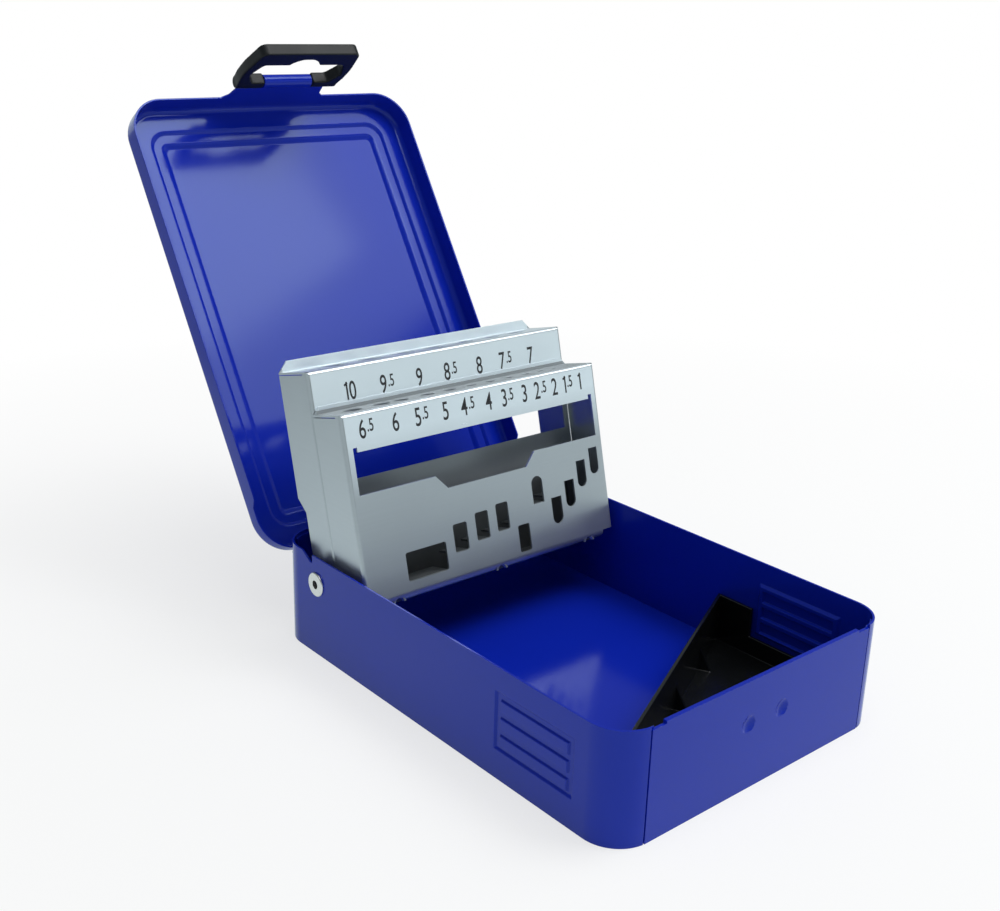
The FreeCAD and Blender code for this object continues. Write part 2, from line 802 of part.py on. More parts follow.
def lid_level(name, inset, low, high, radius, shrink):
    """One level of the pressed lid, as a solid block, drawn shut about the hinge axis."""
    return rounded_box(
        name,
        both_sides(f"{LID_SIDE} - ({inset}) - {shrink}"),
        (f"-({LID_FRONT} - ({inset}) - {shrink})", f"{LID_REAR} - ({inset}) - {shrink}"),
        (low, high),
        radius,
    )


def lid_levels(name, shrink, low, metal):
    """The rim and border, the ledge and the raised panel, as blocks that are joined."""
    top = f"{LID_TOP} - {shrink}"
    rim = lid_level(f"{name}_rim", "0", low, top, size.lid_corner - metal, shrink)
    soft = rounded(
        f"{name}_rim_bend",
        rim,
        size.rim_bend - metal,
        lambda edge: edge.BoundBox.ZMin > rim.Shape.BoundBox.ZMax - size.gauge / 2,
    )
    ledge = lid_level(
        f"{name}_ledge",
        "border_width",
        "0",
        f"{top} + ledge_rise",
        size.ledge_corner - metal,
        shrink,
    )
    panel = box(
        f"{name}_panel",
        both_sides(f"{LID_SIDE} - border_width - ledge_width - {shrink}"),
        (
            f"-({LID_FRONT} - border_width - ledge_width - {shrink})",
            f"{LID_REAR} - border_width - ledge_width - {shrink}",
        ),
        ("0", f"{top} + ledge_rise + panel_rise"),
    )
    return fuse(name, [soft, ledge, panel])


def lid_tab():
    """The tongue below the front rim, which narrows to the strip that is rolled into the curl."""
    edge = RIM_EDGE
    points = [
        ("-tab_base_half - tab_flare", edge),
        ("-tab_base_half", f"{edge} - tab_flare"),
        ("-tab_end_half", f"{edge} - tab_length"),
        ("-curl_half", f"{edge} - tab_length"),
        ("-curl_half", f"{edge} - curl_drop"),
        ("curl_half", f"{edge} - curl_drop"),
        ("curl_half", f"{edge} - tab_length"),
        ("tab_end_half", f"{edge} - tab_length"),
        ("tab_base_half", f"{edge} - tab_flare"),
        ("tab_base_half + tab_flare", edge),
    ]
    sheet_tab = prism("lid_tab", "XZ_Plane", points, f"-{LID_FRONT}", f"gauge - {LID_FRONT}")
    at = (f"gauge / 2 - {LID_FRONT}", f"{edge} - curl_drop")
    roll = rod("curl_roll", "curl_radius", both_sides("curl_half"), *at)
    bore = rod("curl_bore", "curl_radius - gauge", both_sides("curl_half + overrun"), *at)
    return fuse("tab_and_roll", [sheet_tab, roll]), bore


def place_lid(piece, label):
    """Lid pieces are drawn shut, then swing open about the hinge axis."""
    piece.Placement = Placement(Vector(), Rotation(-X, 1))
    bind(piece, "Placement.Rotation.Angle", "lid_open")
    bind(piece, "Placement.Base.y", AXIS_BACK)
    bind(piece, "Placement.Base.z", AXIS_HIGH)
    return node(piece, label)


def lid_panel():
    outer = lid_levels("lid_outside", "0", RIM_EDGE, 0.0)
    inner = lid_levels("lid_inside", "gauge", f"{RIM_EDGE} - overrun", size.gauge)
    behind = (f"{LID_REAR} - rear_relief", f"{LID_REAR} + overrun")
    below = (f"{RIM_EDGE} - overrun", "hinge_drop")
    hinge_room = box("lid_hinge_room", both_sides(f"{LID_SIDE} + overrun"), behind, below)
    shell = cut("lid_shell", outer, [inner, hinge_room])
    tab, bore = lid_tab()
    return place_lid(cut("lid_whole", fuse("lid_with_tab", [shell, tab]), [bore]), "lid_panel")


def knuckle(name, span):
    """A rolled sheet tube about the hinge axis."""
    tube = rod(f"{name}_tube", "knuckle_radius", span, "0", "0")
    bore = rod(f"{name}_bore", "knuckle_radius - gauge", span, "0", "0")
    return cut(name, tube, [bore])


def hinge(side, middle):
    """One knuckle hinge: a leaf on the rear wall, a leaf on the lid's rim and the pin."""
    third = "(hinge_length / 3)"
    ends = (f"{middle} - hinge_length / 2", f"{middle} + hinge_length / 2")
    sheet_deep = ("-hinge_offset", "gauge - hinge_offset")
    leaf = box(f"{side}_base_sheet", ends, sheet_deep, ("-base_leaf_drop", "0"))
    lid_room = box(
        f"{side}_lid_room",
        (f"{ends[0]} + {third} - knuckle_gap", f"{ends[1]} - {third} + knuckle_gap"),
        sheet_deep,
        ("-knuckle_radius - knuckle_gap", "knuckle_gap"),
    )
    rolls = [
        knuckle(f"{side}_base_roll_1", (ends[0], f"{ends[0]} + {third} - knuckle_gap")),
        knuckle(f"{side}_base_roll_2", (f"{ends[1]} - {third} + knuckle_gap", ends[1])),
    ]
    base = fuse(f"{side}_base_leaf", [cut(f"{side}_base_leaf_flat", leaf, [lid_room])] + rolls)
    bind(base, "Placement.Base.y", AXIS_BACK)
    bind(base, "Placement.Base.z", AXIS_HIGH)
    node(base, f"{side}_hinge_base_leaf")
    pin = rod(f"{side}_pin", "hinge_pin_radius", ends, AXIS_BACK, AXIS_HIGH)
    node(pin, f"{side}_hinge_pin")
    inner_ends = (f"{ends[0]} + {third}", f"{ends[1]} - {third}")
    tongue = box(
        f"{side}_lid_tongue",
        inner_ends,
        (LID_REAR, f"{LID_REAR} + gauge"),
        ("knuckle_radius - gauge / 2", "hinge_drop + gauge"),
    )
    strap = box(
        f"{side}_lid_strap",
        ends,
        (LID_REAR, f"{LID_REAR} + gauge"),
        ("hinge_drop + gauge / 2", "hinge_drop + lid_leaf_rise"),
    )
    lid_leaf = fuse(f"{side}_lid_leaf", [tongue, strap, knuckle(f"{side}_lid_roll", inner_ends)])
    place_lid(lid_leaf, f"{side}_hinge_lid_leaf")


def carry_handle():
    """A flat moulded handle, drawn hanging from the curl of the shut lid."""
    half_thick = ("-handle_thick / 2", "handle_thick / 2")
    shape = [
        ("-handle_root_half", "0"),
        ("handle_root_half", "0"),
        ("handle_belly_half", "-handle_belly"),
        ("handle_end_half", "-handle_reach"),
        ("-handle_end_half", "-handle_reach"),
        ("-handle_belly_half", "-handle_belly"),
    ]
    plate = prism("handle_plate", "XZ_Plane", shape, *half_thick)
    end = -size.handle_reach
    sides = rounded(
        "handle_plate_sides",
        plate,
        size.handle_side_curve,
        lambda edge: along(edge, Y) and end + size.gauge < edge.BoundBox.ZMax < -size.gauge,
    )
    soft = rounded(
        "handle_plate_corners",
        sides,
        size.handle_corner,
        lambda edge: along(edge, Y) and edge.BoundBox.ZMax < end + size.gauge,
    )
    grip = [
        ("-grip_low_half", "-grip_low"),
        ("grip_low_half", "-grip_low"),
        ("grip_belly_half", "-grip_belly"),
        ("grip_high_half", "-grip_high"),
        ("-grip_high_half", "-grip_high"),
        ("-grip_belly_half", "-grip_belly"),
    ]
    through = ("-handle_thick", "handle_thick")
    hole = rounded(
        "handle_grip_hole",
        prism("handle_grip", "XZ_Plane", grip, *through),
        size.grip_corner,
        lambda edge: along(edge, Y),
    )
    hang = rounding("handle_hang_hole", "hang_radius", "0", through, "-hang_centre")
    free = box(
        "curl_room",
        both_sides("curl_half + barrel_gap"),
        through,
        ("-curl_radius - 2 * barrel_gap", "curl_radius + 2 * barrel_gap"),
    )
    frame_part = cut("handle_frame", soft, [hole, hang, free])
    barrels = [
        rod("handle_barrel_left", "curl_radius", ("-handle_root_half", "-curl_half - barrel_gap"), "0", "0"),
        rod("handle_barrel_right", "curl_radius", ("curl_half + barrel_gap", "handle_root_half"), "0", "0"),
    ]
    bar_radius = "curl_radius - gauge - running_fit"
    bar = rod("handle_bar", bar_radius, both_sides("curl_half + 2 * barrel_gap"), "0", "0")
    handle = fuse("handle", [frame_part, bar] + barrels)
    handle.Placement = Placement(Vector(), Rotation(-X, 1))
    bind(handle, "Placement.Rotation.Angle", "lid_open")
    out = f"(gauge / 2 - {LID_FRONT})"
    drop = f"({RIM_EDGE} - curl_drop)"
    bind(handle, "Placement.Base.y", f"{AXIS_BACK} + {out} * cos(lid_open) + {drop} * sin(lid_open)")
    bind(handle, "Placement.Base.z", f"{AXIS_HIGH} - {out} * sin(lid_open) + {drop} * cos(lid_open)")
    return node(handle, "carry_handle")


TRAY_LEFT = "(case_depth / 2 - tray_left)"
TRAY_SLOPE = "((tray_right - tray_left) / case_width)"
TRAY_WALL_ALONG = f"tray_wall * sqrt(1 + {TRAY_SLOPE} ^ 2)"


def tray_corner(name, inset, low, high):
    """The front corner of the case in front of the tray's slanting wall, as a block."""
    ring = rounded_box(
        f"{name}_ring",
        both_sides(f"{HALF_WIDE} - 2 * gauge - tray_play - {inset}"),
        (f"2 * gauge + tray_play + {inset} - {HALF_DEEP}", "0"),
        (low, high),
        size.corner_radius - 2 * size.gauge - size.tray_play - (size.tray_wall if inset != "0" else 0.0),
    )
    back = f"({inset}) * sqrt(1 + {TRAY_SLOPE} ^ 2)"
    points = [
        (f"-{HALF_WIDE}", f"-{TRAY_LEFT} - {back}"),
        (f"-{HALF_WIDE}", f"-{HALF_DEEP}"),
        (HALF_WIDE, f"-{HALF_DEEP}"),
        (HALF_WIDE, f"tray_right - {HALF_DEEP} - {back}"),
    ]
    slant = prism(f"{name}_slant", "XY_Plane", points, low, high)
    return common(name, ring, slant), slant


def parts_tray():
    """A moulded tray that fills the corner the folded drills leave free."""
    floor, high = "gauge", "gauge + tray_height"
    outer, _ = tray_corner("tray_outside", "0", floor, high)
    inner, slant = tray_corner("tray_inside", "tray_wall", f"{floor} + tray_wall", f"{high} + overrun")
    low_zone = box(
        "tray_low_zone",
        both_sides(HALF_WIDE),
        (f"-{HALF_DEEP}", f"tray_step - {HALF_DEEP}"),
        ("gauge + tray_low_height", f"{high} + overrun"),
    )
    low_rim = common("tray_low_rim", slant, low_zone)
    shell = cut("tray_shell", outer, [inner, low_rim])
    gussets = [gusset(i, share) for i, share in enumerate(GUSSET_SHARES)]
    return node(fuse("tray", [shell] + gussets), "parts_tray")


def gusset(index, share):
    """A small rib that props the slanting wall."""
    foot = "(gauge + tray_wall / 2)"
    points = [
        ("tray_wall / 4", foot),
        ("tray_wall / 4", f"{foot} + gusset_height"),
        ("0", f"{foot} + gusset_height"),
        ("-gusset_reach", foot),
    ]
    rib = prism(f"tray_gusset_{index}", "YZ_Plane", points, "-tray_wall / 2", "tray_wall / 2")
    rib.Placement = Placement(Vector(), Rotation(Z, 1))
    bind(rib, "Placement.Rotation.Angle", f"atan({TRAY_SLOPE})")
    bind(rib, "Placement.Base.x", f"({share} - 0.5) * case_width")
    bind(rib, "Placement.Base.y", f"-{TRAY_LEFT} + {share} * (tray_right - tray_left) - {TRAY_WALL_ALONG}")
    return rib


def write_parts():
    """Recompute, make sure that every object is sound, and write a file for each node."""
    doc.recompute()
    for thing in doc.Objects:
        if {"Invalid", "Error"} & set(thing.State):
            raise RuntimeError(f"{thing.Label} failed: {thing.State}")
    os.makedirs("parts", exist_ok=True)
    for thing in nodes:
        shape = thing.Shape
        if shape.isNull() or not shape.isValid() or not shape.Solids:
            raise RuntimeError(f"{thing.Label} has no sound solid")
        print(thing.Label, len(shape.Solids), "solids", round(shape.Volume, 1), "mm3")
        shape.exportStep(f"parts/{thing.Label}.step")


base_pan()
blank_plate = end_plate()
front_wall(blank_plate)
rear_wall(blank_plate)
pivot_rivets()
spacer_washers()
front_rack()
back_rack()
lid_panel()
hinge("left", f"-({HALF_WIDE} - hinge_inset)")
hinge("right", f"({HALF_WIDE} - hinge_inset)")
carry_handle()
parts_tray()
write_parts()
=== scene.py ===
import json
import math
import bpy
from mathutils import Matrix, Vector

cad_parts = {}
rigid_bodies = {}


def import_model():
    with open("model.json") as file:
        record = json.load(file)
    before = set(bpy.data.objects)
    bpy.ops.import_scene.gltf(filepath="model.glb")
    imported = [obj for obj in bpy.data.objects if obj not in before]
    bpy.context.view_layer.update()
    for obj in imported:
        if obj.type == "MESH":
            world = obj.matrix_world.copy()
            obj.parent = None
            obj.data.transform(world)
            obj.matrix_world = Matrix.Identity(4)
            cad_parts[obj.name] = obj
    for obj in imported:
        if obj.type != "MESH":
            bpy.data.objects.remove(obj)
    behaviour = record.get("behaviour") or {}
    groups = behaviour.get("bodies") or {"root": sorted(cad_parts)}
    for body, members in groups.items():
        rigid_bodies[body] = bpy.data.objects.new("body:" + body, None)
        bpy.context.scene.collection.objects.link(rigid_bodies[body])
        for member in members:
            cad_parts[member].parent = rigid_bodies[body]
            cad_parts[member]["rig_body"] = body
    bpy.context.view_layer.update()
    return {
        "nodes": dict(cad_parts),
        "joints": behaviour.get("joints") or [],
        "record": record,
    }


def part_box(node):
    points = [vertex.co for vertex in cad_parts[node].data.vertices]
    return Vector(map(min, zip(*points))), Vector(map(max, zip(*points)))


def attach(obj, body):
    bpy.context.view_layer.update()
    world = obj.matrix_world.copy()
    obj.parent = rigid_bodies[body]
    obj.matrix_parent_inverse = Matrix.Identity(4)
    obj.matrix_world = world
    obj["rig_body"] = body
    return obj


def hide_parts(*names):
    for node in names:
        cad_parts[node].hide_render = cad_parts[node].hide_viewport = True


bl_info = {
    "name": "Drill Bit Case",
    "version": (1, 0, 0),
    "blender": (4, 5, 0),
    "location": "3D View > Sidebar > Drill Case",
    "description": "Dresses the packed drill bit case with painted, zinc-plated and moulded finishes",
    "category": "Object",
}

import bmesh
import bpy
from bpy.props import FloatProperty, FloatVectorProperty, IntProperty, PointerProperty
from mathutils import Matrix, Vector

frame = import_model()
MM = 0.001
SLACK = 0.01 * MM
CUT_SLACK = 0.001 * MM
WELD = 0.002 * MM
JOINTS = {joint["name"]: joint for joint in frame["joints"]}
MOUNTS = {mount["name"]: mount for mount in frame["record"]["mounts"]}


def joint_place(name):
    """Where a joint's axis passes, with the part at rest."""
    return Vector(JOINTS[name]["pos_m"])


def shut_pose():
    """The turn that carries the lid from rest, where it stands open, to shut."""
    hinge = JOINTS["lid_hinge"]
    about = Matrix.Translation(joint_place("lid_hinge"))
    turn = Matrix.Rotation(math.radians(hinge["range_deg"][1]), 4, Vector(hinge["axis"]))
    return about @ turn @ about.inverted()


def rack_pose():
    """From a rack drawn upright about its pivot to the rack as it leans at rest."""
    up = Vector(MOUNTS["drill_seat_10_0"]["axis"])
    lean = math.atan2(up.y, up.z)
    return Matrix.Translation(joint_place("rack_fold")) @ Matrix.Rotation(-lean, 4, "X")


def spread(points):
    """The low and the high corner of a set of points."""
    low = Vector(map(min, *points))
    high = Vector(map(max, *points))
    return low, high


def posed_box(node, pose):
    """A CAD node's box once its vertices are carried by a pose."""
    return spread([pose @ vertex.co for vertex in frame["nodes"][node].data.vertices])


class LidSizes(bpy.types.PropertyGroup):
    gauge: FloatProperty(
        name="Sheet", description="Thickness of the lid's sheet", default=0.7 * MM, unit="LENGTH"
    )
    edge: FloatProperty(
        name="Edge", description="Softness of the sheet's edges", default=0.13 * MM, unit="LENGTH"
    )
    corner: FloatProperty(
        name="Corner", description="Radius of the rim's corners", default=14 * MM, unit="LENGTH"
    )
    rim_drop: FloatProperty(
        name="Rim depth", description="From the border down to the rim's edge", default=9.4 * MM,
        unit="LENGTH",
    )
    rim_bend: FloatProperty(
        name="Rim bend", description="Radius of the fold from border to rim", default=2.9 * MM, unit="LENGTH"
    )
    rear_rise: FloatProperty(
        name="Rear rise", description="How much shallower the rim is by the hinges", default=2.6 * MM,
        unit="LENGTH",
    )
    rear_relief: FloatProperty(
        name="Rear relief", description="Length of the shallower rim", default=18 * MM, unit="LENGTH"
    )
    border: FloatProperty(
        name="Border", description="Width of the flat border", default=9.5 * MM, unit="LENGTH"
    )
    ledge: FloatProperty(
        name="Ledge", description="Width of the ledge round the panel", default=5.0 * MM, unit="LENGTH"
    )
    ledge_rise: FloatProperty(
        name="Ledge rise", description="Step from the border up to the ledge", default=1.1 * MM,
        unit="LENGTH",
    )
    ledge_corner: FloatProperty(
        name="Ledge corner", description="Radius of the ledge's corners", default=6.8 * MM, unit="LENGTH"
    )
    panel_rise: FloatProperty(
        name="Panel rise", description="Step from the ledge up to the panel", default=1.3 * MM, unit="LENGTH"
    )
    crown: FloatProperty(
        name="Crown", description="Rise of each flat band over its width", default=0.04 * MM, unit="LENGTH"
    )
    slope: FloatProperty(
        name="Slope", description="Run of the step to the ledge", default=1.7 * MM, unit="LENGTH"
    )
    panel_slope: FloatProperty(
        name="Panel slope", description="Run of the step to the panel", default=2.6 * MM, unit="LENGTH"
    )
    panel_corner: FloatProperty(
        name="Panel corner", description="Radius of the panel's corners", default=2.2 * MM, unit="LENGTH"
    )
    tab_half: FloatProperty(
        name="Tab half width", description="Half the width of the front tab", default=20.6 * MM,
        unit="LENGTH",
    )
    tab_flare: FloatProperty(
        name="Tab flare", description="Slope where the tab leaves the rim", default=2.4 * MM, unit="LENGTH"
    )
    tab_reach: FloatProperty(
        name="Tab reach", description="From the rim's edge to the tab's end", default=7.4 * MM, unit="LENGTH"
    )
    tab_taper: FloatProperty(
        name="Tab taper", description="How much narrower the tab's end is on a side", default=1 * MM,
        unit="LENGTH",
    )
    curl_half: FloatProperty(
        name="Curl half width", description="Half the width of the rolled strip", default=10.6 * MM,
        unit="LENGTH",
    )
    curl_radius: FloatProperty(
        name="Curl radius", description="Outside of the roll round the handle", default=2.5 * MM,
        unit="LENGTH",
    )
    curl_turn: FloatProperty(
        name="Curl turn", description="How far the strip is rolled", default=math.radians(325),
        unit="ROTATION",
    )
    curl_segments: IntProperty(name="Curl segments", description="Faces round the curl", default=40)
    corner_segments: IntProperty(name="Corner segments", description="Faces round each corner", default=14)


class EdgeSizes(bpy.types.PropertyGroup):
    sheet: FloatProperty(
        name="Sheet edges", description="Softness of the painted sheet's edges", default=0.14 * MM,
        unit="LENGTH",
    )
    pressed: FloatProperty(
        name="Pressed edges", description="Radius of the pressed grip ribs", default=0.4 * MM, unit="LENGTH"
    )
    grip_corner: FloatProperty(
        name="Grip corners", description="Radius of the grip ribs' corners", default=1.8 * MM, unit="LENGTH"
    )
    press_depth: FloatProperty(
        name="Press depth", description="From the wall's face, holds all of the grip ribs", default=2.2 * MM,
        unit="LENGTH",
    )
    press_margin: FloatProperty(
        name="Press margin", description="Clear of ribs above the floor and below the rim", default=6 * MM,
        unit="LENGTH",
    )
    zinc: FloatProperty(
        name="Zinc edges", description="Softness of the racks' cut edges", default=0.09 * MM, unit="LENGTH"
    )
    handle_grain: FloatProperty(
        name="Handle faces", description="Size of the handle's faces", default=0.3 * MM, unit="LENGTH"
    )
    handle_rounds: IntProperty(
        name="Handle rounding", description="Rounds of smoothing of the handle's edges", default=14
    )
    tray: FloatProperty(
        name="Tray edges", description="Radius of the tray's moulded edges", default=0.3 * MM, unit="LENGTH"
    )
    hardware: FloatProperty(
        name="Hardware edges", description="Softness of rivets and leaves", default=0.12 * MM, unit="LENGTH"
    )


class LabelSizes(bpy.types.PropertyGroup):
    height: FloatProperty(
        name="Digit height", description="Height of a whole digit", default=6.3 * MM, unit="LENGTH"
    )
    narrow: FloatProperty(
        name="Narrowing", description="Width of the digits against the plain font", default=0.66
    )
    space: FloatProperty(name="Space", description="Between two digits, in digit heights", default=0.09)
    small: FloatProperty(
        name="Half size", description="Size of the small half against a digit", default=0.67
    )
    lift: FloatProperty(
        name="Half lift", description="Lift of the small half, in digit heights", default=0.3
    )
    gap: FloatProperty(
        name="Half gap", description="Between a digit and its small half", default=0.7 * MM, unit="LENGTH"
    )
    bold: FloatProperty(
        name="Bold", description="Widening of the strokes", default=0.05 * MM, unit="LENGTH"
    )
    front_middle: FloatProperty(
        name="Front row", description="From the front rack's pivot to the digits' middle", default=52.5 * MM,
        unit="LENGTH",
    )
    back_middle: FloatProperty(
        name="Back row", description="From the back rack's pivot to the digits' middle", default=64.0 * MM,
        unit="LENGTH",
    )
    ink: FloatProperty(
        name="Ink", description="Thickness of the print", default=0.02 * MM, unit="LENGTH"
    )


class Finishes(bpy.types.PropertyGroup):
    paint: FloatVectorProperty(
        name="Paint", description="Blue enamel", subtype="COLOR", size=3, default=(0.004, 0.018, 0.385)
    )
    zinc: FloatVectorProperty(
        name="Zinc", description="Zinc-plated sheet", subtype="COLOR", size=3, default=(0.49, 0.535, 0.565)
    )
    plated: FloatVectorProperty(
        name="Plated steel", description="Rivets and hinges", subtype="COLOR", size=3,
        default=(0.72, 0.71, 0.69),
    )
    plastic: FloatVectorProperty(
        name="Plastic", description="Moulded black plastic", subtype="COLOR", size=3,
        default=(0.006, 0.007, 0.008),
    )
    ink: FloatVectorProperty(
        name="Ink", description="Printed sizes", subtype="COLOR", size=3, default=(0.015, 0.015, 0.017)
    )


class StageSettings(bpy.types.PropertyGroup):
    azimuth: FloatProperty(name="Azimuth", description="Side that the camera looks from", default=-40.88)
    elevation: FloatProperty(name="Elevation", description="Height of the camera's view", default=19.42)
    roll: FloatProperty(name="Roll", description="Turn of the camera about its own axis", default=1.70)
    place: FloatVectorProperty(
        name="Camera", description="Where the camera stands", subtype="TRANSLATION", size=3,
        default=(-0.27674, -0.28290, 0.21718),
    )
    focal: FloatProperty(name="Focal length", description="In image widths", default=1.2905)
    world: FloatProperty(name="Sky", description="Strength of the sky overhead", default=0.25)
    key: FloatProperty(name="Key", description="Power of the large lamp", default=7.6)
    lid: FloatProperty(name="Lid lamp", description="Power of the lamp that shines in the lid", default=3.4)
    corner: FloatProperty(
        name="Corner lamp", description="Power of the lamp in the lid's corner", default=1.4
    )


class Signal:
    """A socket that can be used in an expression."""

    def __init__(self, maker, socket):
        self.maker = maker
        self.socket = socket

    def maths(self, operation, first, second):
        """A Math node on two signals or numbers."""
        return self.maker.node("ShaderNodeMath", {"operation": operation}, {0: first, 1: second})

    def __add__(self, other):
        return self.maths("ADD", self, other)

    def __sub__(self, other):
        return self.maths("SUBTRACT", self, other)

    def __rsub__(self, other):
        return self.maths("SUBTRACT", other, self)

    def __mul__(self, other):
        return self.maths("MULTIPLY", self, other)

    def __or__(self, other):
        return self.maths("MAXIMUM", self, other)

    def __lt__(self, other):
        return self.maths("LESS_THAN", self, other)

    def __gt__(self, other):
        return self.maths("GREATER_THAN", self, other)

    def __abs__(self):
        return self.maths("ABSOLUTE", self, 0.0)

    __radd__ = __add__
    __rmul__ = __mul__

    def __getitem__(self, name):
        return Signal(self.maker, self.socket.node.outputs[name])


class Maker:
    """The nodes of a material or of the world."""

    def __init__(self, owner):
        owner.use_nodes = True
        self.owner = owner
        self.tree = owner.node_tree
        self.tree.nodes.clear()

    def node(self, kind, settings=None, sockets=None):
        """Adds a node with its settings, then the values or links of its sockets. Gives its first output."""
        made = self.tree.nodes.new(kind)
        for name, value in (settings or {}).items():
            if name == "stops":
                self.set_stops(made.color_ramp, value)
            else:
                setattr(made, name, value)
        for name, value in (sockets or {}).items():
            if isinstance(value, Signal):
                self.tree.links.new(value.socket, made.inputs[name])
            else:
                made.inputs[name].default_value = value
        return Signal(self, made.outputs[0]) if len(made.outputs) else made

    def set_stops(self, ramp, stops):
        """Sets the places and the grey values of a ramp's stops."""
        while len(ramp.elements) < len(stops):
            ramp.elements.new(1.0)
        for element, (place, value) in zip(ramp.elements, stops):
            element.position = place
            element.color = (value, value, value, 1)

    def object_place(self, stretch=(1, 1, 1)):
        """The place on a piece, which moves with the piece."""
        coords = self.node("ShaderNodeTexCoord")["Object"]
        return self.node("ShaderNodeMapping", {}, {"Vector": coords, "Scale": stretch})

    def noise(self, place, scale, detail=2.0, rough=0.5):
        """Soft noise from 0 to 1."""
        sockets = {"Vector": place, "Scale": scale, "Detail": detail, "Roughness": rough}
        return self.node("ShaderNodeTexNoise", {}, sockets)

    def ramp(self, signal, *stops):
        """A grey ramp through stops of (signal, value)."""
        return self.node("ShaderNodeValToRGB", {"stops": stops}, {"Fac": signal})

    def tint(self, mask, first, second):
        """From one colour, where the mask is 0, to another. A Mix node's colours are 6, 7 and 2."""
        first, second = (value if isinstance(value, Signal) else (*value, 1) for value in (first, second))
        sockets = {0: mask, 6: first, 7: second}
        return self.node("ShaderNodeMix", {"data_type": "RGBA"}, sockets)[2]

    def bump(self, height, distance, strength=1.0):
        """A normal that follows a height, which is given as a share of a distance."""
        sockets = {"Height": height, "Distance": distance, "Strength": strength}
        return self.node("ShaderNodeBump", {}, sockets)

    def in_view(self):
        """1 where the background itself is seen, straight or in a reflection."""
        rays = self.node("ShaderNodeLightPath")
        return rays["Is Camera Ray"] | rays["Is Glossy Ray"] | rays["Is Transmission Ray"]

    def along(self, origin, direction):
        """How far a point lies from an origin along a direction."""
        place = self.node("ShaderNodeTexCoord")["Object"]
        offset = self.node("ShaderNodeVectorMath", {"operation": "SUBTRACT"}, {0: place, 1: origin})
        sockets = {0: offset, 1: direction}
        return self.node("ShaderNodeVectorMath", {"operation": "DOT_PRODUCT"}, sockets)["Value"]

    def daylight(self, camera):
        """Plain white for the camera, and faintly blue where it falls on the case."""
        return self.tint(camera, (0.87, 0.98, 1.0), (1, 1, 1))

    def principled(self, **sockets):
        """A Principled shader, with its sockets named in lower case."""
        plain = {
            name.replace("_", " ").title().replace("Ior", "IOR"): value for name, value in sockets.items()
        }
        return self.node("ShaderNodeBsdfPrincipled", {}, plain)

    def finish(self, **sockets):
        """Ends a material in a Principled shader."""
        self.node("ShaderNodeOutputMaterial", {}, {"Surface": self.principled(**sockets)})
        return self.owner


def scaled(colour, factor):
    """A colour made darker or brighter, up to white."""
    return tuple(min(1.0, part * factor) for part in colour)


def blue_paint(colour):
    """Stoved enamel: smooth, glossy, with a faint orange peel and dull patches where hands have been."""
    maker = Maker(bpy.data.materials.new("blue_paint"))
    place = maker.object_place()
    patches = maker.noise(place, 18.0, 3.0)
    peel = maker.noise(place, 700.0, 2.0)
    waves = maker.noise(place, 45.0, 1.0)
    return maker.finish(
        base_color=maker.tint(patches, scaled(colour, 0.94), scaled(colour, 1.06)),
        roughness=maker.ramp(patches, (0.35, 0.11), (0.75, 0.16)),
        specular_ior_level=0.3,
        specular_tint=(0.74, 0.94, 1.0, 1),
        normal=maker.bump(peel * 0.35 + waves, 0.03 * MM, 0.4),
    )


def rack_shades(maker):
    """Masks for painted light on the racks: where shade is painted within the rack, how that painted shade
    eases off above the foot, and the upper label bands, where a highlight is painted.
    """
    pose = rack_pose()
    low, high = posed_box("front_rack", pose.inverted())
    wall = 1.2 * MM
    across, back, up = (maker.along(pose.translation, column) for column in pose.to_3x3().transposed())
    between = abs(across) < high.x - wall
    # Painted shade: the space within the rack, behind its front face and below its top, is masked to be
    # painted dark.
    shaded_inside = between * (back > low.y + wall) * (up < high.z - wall)
    decimetres = up * 10.0
    # The painted shade is darkest at the foot and eases off higher up.
    shade_easing_up = maker.ramp(decimetres, (0.16, 0.0), (0.25, 1.0))
    # Painted highlight: the upper bands across the rack, where the sizes are printed, are masked to be
    # painted brighter.
    highlit_bands = between * maker.ramp(decimetres, (0.3, 0.0), (0.5, 1.0))
    return shaded_inside, shade_easing_up, highlit_bands


def zinc_sheet(colour):
    """Zinc-plated sheet: silver with rolling lines and a soft mottle, with a painted highlight on the upper
    label bands and painted shade within the racks.
    """
    maker = Maker(bpy.data.materials.new("zinc_sheet"))
    lines = maker.noise(maker.object_place((1, 1, 60)), 28.0, 4.0)
    place = maker.object_place()
    mottle = maker.noise(place, 60.0, 4.0, 0.6)
    grain = maker.noise(place, 1800.0, 2.0)
    mask = mottle * 0.6 + lines * 0.4
    shaded_inside, shade_easing_up, highlit_bands = rack_shades(maker)
    plain = maker.tint(mask, scaled(colour, 0.86), scaled(colour, 1.04))
    # Painted highlight: the upper label bands are painted much brighter than the plain zinc.
    outer = maker.tint(highlit_bands, plain, scaled(colour, 1.7))
    # Painted shade colour within the rack: very dark at the foot, less dark higher up.
    shade_colour = maker.tint(shade_easing_up, scaled(colour, 0.2), scaled(colour, 0.66))
    return maker.finish(
        base_color=maker.tint(shaded_inside, outer, shade_colour),
        # Where shade is painted within the rack, the zinc is also made less metallic and rougher.
        metallic=0.8 - shaded_inside * 0.45,
        roughness=maker.ramp(mask, (0.3, 0.27), (0.7, 0.37)) + shaded_inside * 0.12,
        normal=maker.bump(grain * 0.7 + lines * 0.3, 0.01 * MM, 0.25),
    )


def plated_steel(colour):
    """Bright nickel plate with faint spots."""
    maker = Maker(bpy.data.materials.new("plated_steel"))
    place = maker.object_place()
    spots = maker.noise(place, 240.0, 3.0)
    return maker.finish(
        base_color=maker.tint(spots, scaled(colour, 0.85), scaled(colour, 1.1)),
        metallic=1.0,
        roughness=maker.ramp(spots, (0.3, 0.22), (0.7, 0.38)),
        normal=maker.bump(maker.noise(place, 2500.0), 0.01 * MM, 0.3),
    )


